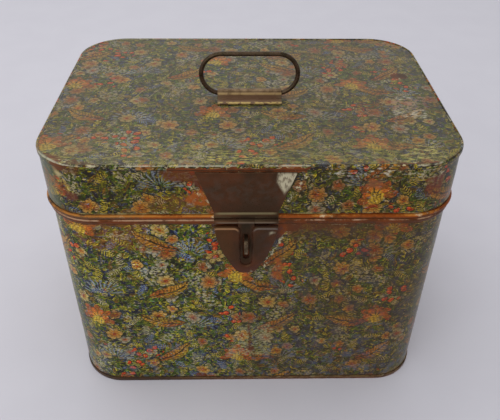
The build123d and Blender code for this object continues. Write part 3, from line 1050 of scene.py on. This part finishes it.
def bodyMasks(x, y, z):
    # stains on the front, and mottles that break them up
    face = frontOnly(y)
    flat = joinVector(x, z)
    mottle = fade(noiseWire(flat, 0.3, 6.0, 0.7), 0.36, 0.58)
    murk = fade(noiseWire(joinVector(z, x), 0.1, 6.0, 0.72), 0.49, 0.59)
    return {
        "wear": wallWear(x, z, face, bodyLook),
        "face": face,
        "mottle": mottle,
        "rubbed": fade(mottle, 0.0, 0.4),
        "cool": fade(z, 74, 16) * fade(noiseWire(flat, 0.13, 6.0, 0.72), 0.5, 0.6),
        "murk": fade(x, -40, 40) * face * murk,
        "flecks": fade(noiseWire(joinVector(x, z * 1.6), 0.45, 6.0, 0.75), 0.48, 0.56),
    }


def lidMasks(x, y, z):
    # mottles that break the stains up, and a dull left corner
    face = frontOnly(y)
    mottle = fade(noiseWire(joinVector(x, z), 0.3, 6.0, 0.7), 0.3, 0.55)
    return {
        "wear": wallWear(x, z, face, lidLook),
        "face": face,
        "mottle": mottle,
        "corner": fade(x, -100, -108) * fade(y, -58, -70) * fade(mottle, 0.0, 1.0, 0.25, 0.7),
        "flecks": fade(noiseWire(joinVector(x * 0.5, z), 0.55, 6.0, 0.75), 0.52, 0.6),
    }


def topMasks(x, y, z):
    # rim and a few patches on it are rubbed
    rim = (abs(x) - 100).calc("MAXIMUM", abs(y) - 69.3) / 15
    stretched = vectorNode("MULTIPLY", joinVector(x, y), (1.0, 2.4, 1.0))
    fine = fade(noiseWire(stretched, 0.2, 7.0, 0.75), 0.48, 0.6)
    murky = fade(noiseWire(stretched, 0.33, 6.0, 0.75), 0.46, 0.36)
    near = fade(y, -46, -80)
    bare = patches(x, y, topLook["bare"], topLook["bareRagged"])
    return {
        "wear": fade(rim, 0.7, 1.1) * 0.14 + bare * topLook["bareShare"],
        "face": 1.0,
        "fine": fine,
        "nearFine": near * fine,
        "nearMurk": near * murky,
    }


bodyLook = {
    "flat": False,
    "shift": (0, 0, 0),
    "depth": 1.25,
    "gain": (1.62, 1.56, 1.7),
    "wear": -0.12,
    "warmth": 0.1,
    "warmRight": 0.7,
    "haze": 0.0,
    "primer": 0.9,
    "masks": bodyMasks,
    "coat": 0.05,
    "coatRoughness": 0.16,
    "gloss": 0.17,
    # bead and foot: start, end, share
    "rubbedLevels": [(136.8, 138.4, 0.6), (4.5, 1.5, 0.12)],
    "bareRagged": 0.5,
    "bareShare": 0.55,
    # behind and beside the flap, and a spot on the foot
    "bare": [
        [(-20.5, 142), (-19.5, 133), (-12, 114), (-6, 104), (5, 102.5), (10, 110), (18.5, 130), (29, 142)],
        [(15, 131.5), (25, 132.5), (29, 137), (30, 142), (15, 142)],
        [(-38, 2), (-28, 2), (-30, 7), (-36, 7)],
    ],
    "marks": [
        ([], 0, "cool", 0.38, (92, 102, 126)),
        ([], 0, "murk", 0.45, (62, 54, 64)),
        ([[(-98, 121), (-60, 118), (-56, 139), (-100, 139)]], 2.6, "mottle", 0.3, (158, 88, 44)),
        (
            [[(12.5, 99), (15, 95), (18.5, 95), (19.5, 104), (17.5, 113), (14.5, 112)]],
            1.6, "mottle", 0.85, (150, 76, 32),
        ),
        ([[(22, 124), (84, 130), (92, 142), (18, 142)]], 2.6, "", 0.4, (74, 48, 30)),
        ([[(22, 132), (56, 135), (62, 142), (20, 142)]], 1.8, "", 0.7, (86, 46, 28)),
        ([[(-28, 140), (-22, 134), (-20, 130), (-18.5, 142)]], 0.4, "", 0.5, (92, 50, 26)),
        ([[(-15, 24), (13, 26), (14, 56), (-8, 54)]], 4.0, "flecks", 0.45, (176, 172, 128)),
        (
            [
                [(-0.9, 33), (0.9, 33), (0.1, 46), (-1.0, 46)],
                [(-1.3, 45), (0.3, 45), (-0.7, 58), (-1.2, 58)],
                [(-1.6, 30.4), (1.2, 29.4), (3.6, 31.4), (2.4, 34.0), (-1.0, 34.2)],
                [(-6.6, 22.8), (-3.2, 22.0), (-1.8, 23.8), (-4.0, 25.6), (-6.2, 24.8)],
            ],
            1.5, "rubbed", 0.9, (84, 40, 24),
        ),
        ([[(16.5, 131), (4.6, 101.6)]], 1.5, "", 1.0, (188, 180, 146)),
    ],
    "bands": [
        (140.3, 2.5, (104, 50, 20), 1.0, 0.0),
        (140.0, 1.4, (70, 40, 24), 0.8, 0.46),
        # a painted shade line under the bead
        (138.0, 0.4, (58, 36, 22), 0.6, 0.4),
        # a painted highlight along the bead's crest
        (141.3, 0.35, (186, 150, 120), 0.8, 0.51, 0.12, 40),
        # painted shade in the gap under the lid's wired edge
        (142.8, 0.8, (30, 17, 9), 0.95, 0.0),
        (137.0, 0.35, (170, 160, 126), 0.6, 0.58),
        (3.1, 0.4, (62, 46, 30), 0.7, 0.3),
    ],
}
lidLook = {
    "flat": False,
    "shift": (13, 200, 0),
    "depth": 1.3,
    "gain": (1.45, 1.32, 1.3),
    "wear": -0.08,
    "warmth": 0.2,
    "warmRight": 0.2,
    "haze": 0.0,
    "primer": 0.9,
    "masks": lidMasks,
    "coat": 0.05,
    "coatRoughness": 0.14,
    "gloss": 0.17,
    # wired edge and top edge: start, end, share
    "rubbedLevels": [(146.6, 145.2, 0.6), (175.6, 177.0, 0.14)],
    "bareRagged": 0.6,
    "bareShare": 0.55,
    # above the clasp plate, and the left corner
    "bare": [
        [(-44, 172.9), (28, 172.9), (30, 176), (-44, 176)],
        [(-112, 171), (-98, 172), (-94, 177), (-112, 177)],
    ],
    "marks": [
        ([], 0, "corner", 1.0, (88, 96, 74)),
        (
            [
                [(-45, 167.5), (-18, 166), (-18, 174), (-48, 174)],
                [(-26, 160), (-18, 150), (-18, 168), (-38, 168)],
            ],
            1.0, "", 0.85, (92, 46, 25),
        ),
        (
            [[(-36, 155), (-30, 151.5), (-22.5, 152), (-22, 157), (-27, 161.5), (-33, 159)]],
            1.4, "mottle", 0.9, (160, 70, 20),
        ),
        (
            [
                [(-99, 154), (-93.5, 154.3), (-91.5, 159.5), (-99, 159.5)],
                [(-90, 149.6), (-88, 153.6), (-92, 153.6)],
            ],
            1.4, "", 0.75, (96, 48, 36),
        ),
        ([[(94, 157), (102, 156), (104, 168), (91, 169)]], 2.0, "mottle", 0.75, (104, 48, 38)),
        ([[(60, 163), (68, 162), (70, 167), (61, 168)]], 1.0, "", 0.65, (124, 80, 54)),
        ([[(40, 170), (74, 170), (76, 176), (38, 176)]], 1.6, "flecks", 0.8, (176, 172, 160)),
        ([[(-101.5, 167.9), (-98.4, 169.7), (-103.5, 173.3), (-106, 171.5)]], 0.8, "", 0.9, (176, 160, 112)),
        ([[(-86.3, 154.5), (-82, 146)]], 0.9, "", 1.0, (204, 168, 84)),
        ([[(-35, 164.5), (-22.5, 151)]], 1.3, "", 1.0, (190, 180, 146)),
        ([[(20.5, 152), (31.5, 172)]], 1.6, "", 1.0, (182, 172, 140)),
        ([[(-112, 171), (-90, 171.5), (-88, 177), (-112, 177)]], 1.0, "", 0.6, (96, 54, 26)),
        ([[(62, 170), (100, 168), (104, 176), (60, 176)]], 3.0, "flecks", 0.6, (190, 182, 152)),
        ([[(-70, 147), (-22, 147), (-22, 160), (-50, 158)]], 1.6, "mottle", 0.4, (128, 82, 34)),
    ],
    "bands": [
        (143.9, 1.3, (134, 64, 18), 1.0, 0.0),
        (143.9, 1.1, (84, 44, 20), 0.85, 0.5, -0.08, 40),
        (145.0, 1.4, (78, 62, 44), 0.85, 0.78, 0.5, -20),
        # painted shade under the wired edge, in the gap above the bead
        (142.9, 0.45, (34, 19, 10), 0.95, 0.0),
        # a painted highlight along the top of the wired edge
        (144.9, 0.4, (196, 126, 50), 0.7, 0.52, 0.1, 40),
        (144.5, 0.6, (220, 204, 166), 0.95, 0.6),
        (145.9, 0.4, (172, 160, 104), 0.75, 0.53, 0.04, 40),
        (174.4, 0.4, (40, 32, 22), 0.75, 0.25),
        # a painted highlight along the crest of the top's rim
        (177.1, 0.22, (184, 180, 158), 0.75, 0.52, 0.12, 40),
    ],
}
topLook = {
    "flat": True,
    "shift": (300, 90, 0),
    "depth": 1.1,
    "gain": (1.14, 1.1, 1.3),
    "wear": -0.12,
    "warmth": 0.36,
    "warmRight": 0.15,
    "haze": 0.04,
    "primer": 0.8,
    "masks": topMasks,
    "coat": 0.18,
    "coatRoughness": 0.3,
    "gloss": 0.34,
    "bareRagged": 2.2,
    "bareShare": 0.42,
    "bare": [
        [(-113, -88), (-62, -88), (-66, -83), (-104, -74), (-113, -70)],
        [(92, 20), (98, 16), (105, 19), (105, 25), (96, 28)],
        [(60, -88), (100, -88), (104, -80), (66, -84)],
    ],
    "marks": [
        ([[(-112, -40), (-112, -88), (-66, -88), (-72, -64)]], 3.0, "fine", 0.4, (96, 84, 74)),
        ([], 0, "nearFine", 0.3, (192, 186, 96)),
        ([], 0, "nearMurk", 0.55, (50, 44, 50)),
        ([[(84, -34), (104, -36), (106, -10), (88, -6)]], 2.4, "fine", 0.6, (206, 200, 176)),
        ([[(60, -24), (108, -26), (106, -10), (66, -12)]], 2.4, "fine", 0.7, (124, 58, 34)),
        ([[(-26, -82), (12, -82), (10, -74), (-24, -74)]], 1.6, "fine", 0.5, (206, 190, 96)),
        ([[(78, -82), (104, -76), (100, -62), (80, -70)]], 2.0, "fine", 0.45, (206, 192, 110)),
    ],
    "bands": [],
}
printedBody = printedMaterial("printedBody", bodyLook)
printedLid = printedMaterial("printedLid", lidLook)
printedTop = printedMaterial("printedTop", topLook)
print("printed tin ready")

# clasp and staple: tints, painted highlights, sheen and shade among them, the middle of the clasp, the level
# of the flap's shoulders, chips of old primer
clasp = {
    "middle": -2.8,
    "shoulder": 139.4,
    "foot": (78, 38, 29),
    "leftLobe": (68, 43, 20),
    # painted grey sheen on the right lobe and on the plate's middle
    "rightLobeSheen": (60, 45, 42),
    "plateSheen": (66, 56, 50),
    # painted highlights on the plate's top edge, the ledge and the barrel
    "plateTopHighlight": (104, 80, 58),
    "ledgeHighlight": (122, 112, 82),
    "barrelHighlight": (112, 98, 82),
    # painted shade in the crease between the ledge and the barrel
    "creaseShade": (32, 26, 20),
    # painted highlights along the lobes' rounded shoulders
    "leftShoulderHighlight": (156, 118, 86),
    "rightShoulderHighlight": (110, 100, 94),
    # dirt and painted shade in the channel and on the staple, and a painted highlight along the staple's
    # front
    "dirtAndShade": (26, 20, 14),
    "stapleHighlight": (150, 132, 112),
    "primer": (184, 176, 148),
    # painted highlight and painted shade lines across it: level, where each fades out and is full, mask,
    # share, tint
    "lines": [
        (173.3, 0.6, 0.1, "cloudy", 0.7, "plateTopHighlight"),
        (146.8, 0.95, 0.1, "highlightSpan", 0.75, "ledgeHighlight"),
        (143.2, 0.9, 0.1, "highlightSpan", 0.7, "barrelHighlight"),
        (144.9, 0.8, 0.2, "", 0.6, "creaseShade"),
    ],
    "chips": [[(17.4, 160.0), (25.8, 172.6), (14.0, 172.8), (13.6, 167.0)]],
    "specks": [
        [(10.4, 134.7), (12.4, 134.9), (12.8, 136.1), (11.4, 136.6), (10.2, 135.9)],
        [(0.0, 106.4), (2.6, 106.2), (2.8, 107.8), (0.4, 108.0)],
    ],
}


def lobeEdge(across, z, inner, outer, top, radius):
    # 1 on the thin line just inside a lobe's rounded top edge
    middle, half = (inner + outer) / 2, abs(inner - outer) / 2
    dx = abs(across - middle) - (half - radius)
    dz = z - (top - radius)
    far = farFrom(dx.calc("MAXIMUM", 0.0), dz.calc("MAXIMUM", 0.0))
    inside = radius - far - dx.calc("MAXIMUM", dz).calc("MINIMUM", 0.0)
    return fade(abs(inside - 0.75), 0.75, 0.1) * fade(z, top - 3.4, top - 0.8)


def claspShades(x, y, z):
    # dirt and painted shade in the flap's channel, painted highlights on the shoulders, the dull ledge over
    # the lid's edge and the barrel, painted sheen on the plate, a chip of old primer
    place = joinVector(x, z)
    cloud = noiseWire(place, 0.25, 4.0)
    front = frontOnly(y)
    across = x - clasp["middle"]
    flap = front * fade(z, 141.4, 140.6)
    level = clasp["shoulder"]
    lined = fade(noiseWire(vectorNode("MULTIPLY", place, (1.0, 0.3, 1.0)), 0.9), 0.42, 0.5)
    # the second mask is the clasp's width, where the painted highlights lie
    masks = {"cloudy": fade(cloud, 0.36, 0.5), "highlightSpan": fade(across, 18, 14) * fade(across, -18, -14)}
    return [
        (flap * fade(z, 118, 107) * 0.55, "foot"),
        (flap * fade(across, -5, -11) * fade(z, 112, 120) * 0.5, "leftLobe"),
        # painted grey sheen on the right lobe and on the plate's middle
        (flap * fade(across, 4, 9) * fade(cloud, 0.4, 0.6) * 0.4, "rightLobeSheen"),
        (front * fade(z, 150, 158) * fade(z, 172, 166) * fade(cloud, 0.42, 0.6) * 0.35, "plateSheen"),
        *[
            (front * fade(abs(z - line), out, full) * masks.get(mask, 1.0) * share, tint)
            for line, out, full, mask, share, tint in clasp["lines"]
        ],
        # painted highlights along the lobes' rounded shoulders
        (flap * lobeEdge(across, z, -3.4, -19.0, level, 3.4) * 0.8, "leftShoulderHighlight"),
        (flap * lobeEdge(across, z, 3.4, 19.0, level, 3.4) * 0.7, "rightShoulderHighlight"),
        # dirt and painted shade down the recessed channel
        (flap * fade(y, -89.5, -88.9) * fade(abs(across), 4.2, 1.6) * fade(z, 107, 114) * 0.7, "dirtAndShade"),
        (patches(x, z, clasp["chips"], 0.25) * (lined * 0.55 + 0.4) * front, "primer"),
        (patches(x, z, clasp["specks"], 0.5) * fade(cloud, 0.34, 0.6) * front * 0.7, "primer"),
    ]


def stapleShades(x, y, z):
    # dark with old lacquer and painted shade, with a painted highlight along its front
    highlightSpan = fade(abs(x - clasp["middle"] - 0.1), 1.1, 0.2) * fade(z, 126, 118) * fade(z, 110, 113)
    return [(0.75, "dirtAndShade"), (highlightSpan, "stapleHighlight")]


foot = {
    "dark": (48, 34, 30),
    "print": (108, 84, 52),
    "pale": (158, 146, 112),
    "edge": (132, 70, 44),
}


def footShades(x, y, z):
    # nearly black at the left; elsewhere print runs a little way over the seam, and the edge is rubbed
    place = joinVector(x, y + z * 3)
    cloud = noiseWire(place, 0.1, 6.0, 0.72)
    rubbed = noiseWire(place, 0.22, 4.0, 0.7)
    over = fade(x, -70, 10)
    return [
        (fade(x, -10, -70) * 0.65, "dark"),
        (fade(cloud, 0.44, 0.54) * fade(z, 1.0, 1.8) * over * 0.75, "print"),
        (fade(rubbed, 0.54, 0.6) * fade(z, 1.2, 1.8) * over * 0.4, "pale"),
        (fade(abs(z - 0.4), 0.6, 0.2) * fade(rubbed, 0.42, 0.5) * over * 0.6, "edge"),
    ]


strap = {
    # painted shade, a painted highlight on the crest and a painted shadow line along the hump's top
    "shade": (98, 72, 56),
    "crest": (160, 134, 90),
    "line": (70, 48, 34),
    "lip": (190, 164, 96),
    "end": (116, 106, 84),
}


def strapShades(x, y, z):
    # painted shade over the trough before the hump, a painted highlight on the crest with a painted shadow
    # line above it, pale worn lip at the front
    cloud = noiseWire(joinVector(x, y), 0.3, 4.0)
    return [
        (fade(z, 180.6, 179.2) * 0.9, "shade"),
        (fade(abs(z - 180.7), 0.9, 0.3) * fade(y, -10.2, -10.9) * fade(cloud, 0.3, 0.5) * 0.8, "crest"),
        (fade(abs(z - 181.7), 0.3, 0.1) * fade(y, -9.6, -10.2) * 0.7, "line"),
        (fade(y, -15.6, -16.6) * fade(cloud, 0.42, 0.52) * fade(abs(x), 24, 18) * 0.8, "lip"),
        (fade(abs(x), 15, 23) * fade(z, 180.4, 179.6) * 0.6, "end"),
    ]


# dark and light tint, metal, roughness, scale of the clouds, gloss, and the shades laid over them
metalLooks = {
    "tinInside": ((118, 104, 76), (160, 144, 106), 0.8, 0.38, 0.05, 0.5, None, {}),
    "brownLacquer": ((50, 33, 24), (92, 60, 38), 0.0, 0.36, 0.25, 0.3, footShades, foot),
    "brownedSteel": ((51, 32, 22), (76, 40, 24), 0.0, 0.32, 0.05, 0.2, claspShades, clasp),
    # rounded edges: lighter where worn, and as a painted highlight
    "wornEdge": ((66, 46, 34), (112, 86, 64), 0.2, 0.34, 0.3, 0.35, None, {}),
    "stapleSteel": ((92, 70, 52), (150, 126, 102), 0.3, 0.34, 0.4, 0.4, stapleShades, clasp),
    "handleSteel": ((30, 21, 17), (66, 48, 40), 0.2, 0.28, 0.3, 0.5, None, {}),
    "strapBrown": ((86, 64, 46), (134, 110, 84), 0.0, 0.38, 0.2, 0.35, strapShades, strap),
}


def metalMaterial(name, dark, light, metal, rough, grain, gloss, shades, palette):
    material, shader, place = newMaterial(name)
    cloud = noiseWire(place, grain, 5.0, 0.62)
    fine = noiseWire(place, 1.3)
    colour = mixColour(fade(cloud, 0.34, 0.68), dark, light)
    if shades:
        colour = layered(colour, palette, shades(*splitVector(place)))
    around, picks = scattered(place, 4.0, 7.0)
    pit = fade(vectorNode("LENGTH", around, output=1), 0.35, 0.15) * (picks[0] > 0.8)
    plug(shader["Base Color"], mixColour(pit * 0.7, colour, age["rust"]))
    plug(shader["Metallic"], metal * (1 - pit))
    plug(shader["Roughness"], rough + (fine - 0.5) * 0.3 + pit * 0.2)
    setSurface(shader, gloss, cloud * 0.6 + fine * 0.25 - pit * 0.4, 0.08)
    return material


metals = {name: metalMaterial(name, *look) for name, look in metalLooks.items()}
tinInside = metals["tinInside"]
print("metals ready")


def placed(piece, body, slot, *nodes):
    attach(piece, body)
    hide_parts(*nodes)


placed(makeBoxWall((printedBody, tinInside)), "box", "printed_tin", "box_wall")
placed(makeLidWall((printedLid, tinInside)), "lid", "printed_tin", "lid_wall")
placed(makeLidTop((printedLid, tinInside), (printedTop, tinInside)), "lid", "printed_top", "lid_top")
for node, (body, slot, finish, width) in softPieces.items():
    placed(softened(node, width, (metals[finish], metals["wornEdge"])), body, slot, node)
for node in ("handle_loop", "lid_edge_wire", "hasp_pin", "left_hinge_pin", "right_hinge_pin"):
    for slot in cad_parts[node].material_slots:
        slot.material = metals["handleSteel"]
print("pieces placed")

# floor and light, in metres
room = {
    "floorSize": 40.0,
    "floorDrop": 0.0002,
    "floorColour": (214, 213, 221),
    "floorShade": (196, 194, 204),
    "worldColour": (0.9, 0.9, 0.92, 1.0),
    "worldStrength": 0.56,
    # place, target, size, watts, colour
    "lights": {
        "overhead": ((-0.4, 0.3, 1.7), (0, 0, 0.05), (2.6, 2.2), 16, (1.0, 0.99, 0.99)),
        "frontFill": ((-0.7, -1.5, 0.8), (0, 0, 0.1), (1.8, 1.2), 10.5, (1.0, 0.98, 0.97)),
    },
}


def makeFloor():
    material, shader, place = newMaterial("paleFloor")
    cloud = noiseWire(place, 0.02, 4.0)
    colour = mixColour(fade(cloud, 0.3, 0.7) * 0.12, room["floorColour"], room["floorShade"])
    plug(shader["Base Color"], colour)
    plug(shader["Roughness"], 0.75 + (cloud - 0.5) * 0.1)
    half = room["floorSize"] / 2
    mesh = bpy.data.meshes.new("floor")
    corners = [(-half, -half), (half, -half), (half, half), (-half, half)]
    mesh.from_pydata([(x, y, -room["floorDrop"]) for x, y in corners], [], [(0, 1, 2, 3)])
    mesh.materials.append(material)
    floor = linked("floor", mesh)


def areaLight(name, place, target, size, watts, colour):
    data = bpy.data.lights.new(name, "AREA")
    data.shape = "RECTANGLE"
    data.size, data.size_y = size
    data.energy = watts
    data.color = colour
    aim = (Vector(target) - Vector(place)).to_track_quat("-Z", "Y").to_matrix()
    linked(name, data).matrix_world = Matrix.Translation(place) @ aim.to_4x4()


makeFloor()
world = bpy.data.worlds.new("studio")
bpy.context.scene.world = world
world.use_nodes = True
background = world.node_tree.nodes["Background"]
background.inputs["Color"].default_value = room["worldColour"]
background.inputs["Strength"].default_value = room["worldStrength"]
for name, light in room["lights"].items():
    areaLight(name, *light)

# place and lens in millimetres, turns in degrees
camera = {
    "place": (-6.715, -341.226, 343.783),
    "lens": 42.79,
    "sensor": 36.0,
    "pitch": 37.381,
    "yaw": 1.341,
    "roll": -0.581,
}
lens = bpy.data.cameras.new("camera")
lens.lens = camera["lens"]
lens.sensor_width = camera["sensor"]
lens.clip_start = 0.01
view = linked("camera", lens)
view.matrix_world = (
    Matrix.Translation(Vector(camera["place"]) * mm)
    @ Matrix.Rotation(math.radians(-camera["yaw"]), 4, "Z")
    @ Matrix.Rotation(math.radians(90 - camera["pitch"]), 4, "X")
    @ Matrix.Rotation(math.radians(-camera["roll"]), 4, "Z")
)
bpy.context.scene.camera = view
bpy.context.scene.view_settings.view_transform = "Standard"
print("light and camera ready")

bpy.context.view_layer.update()
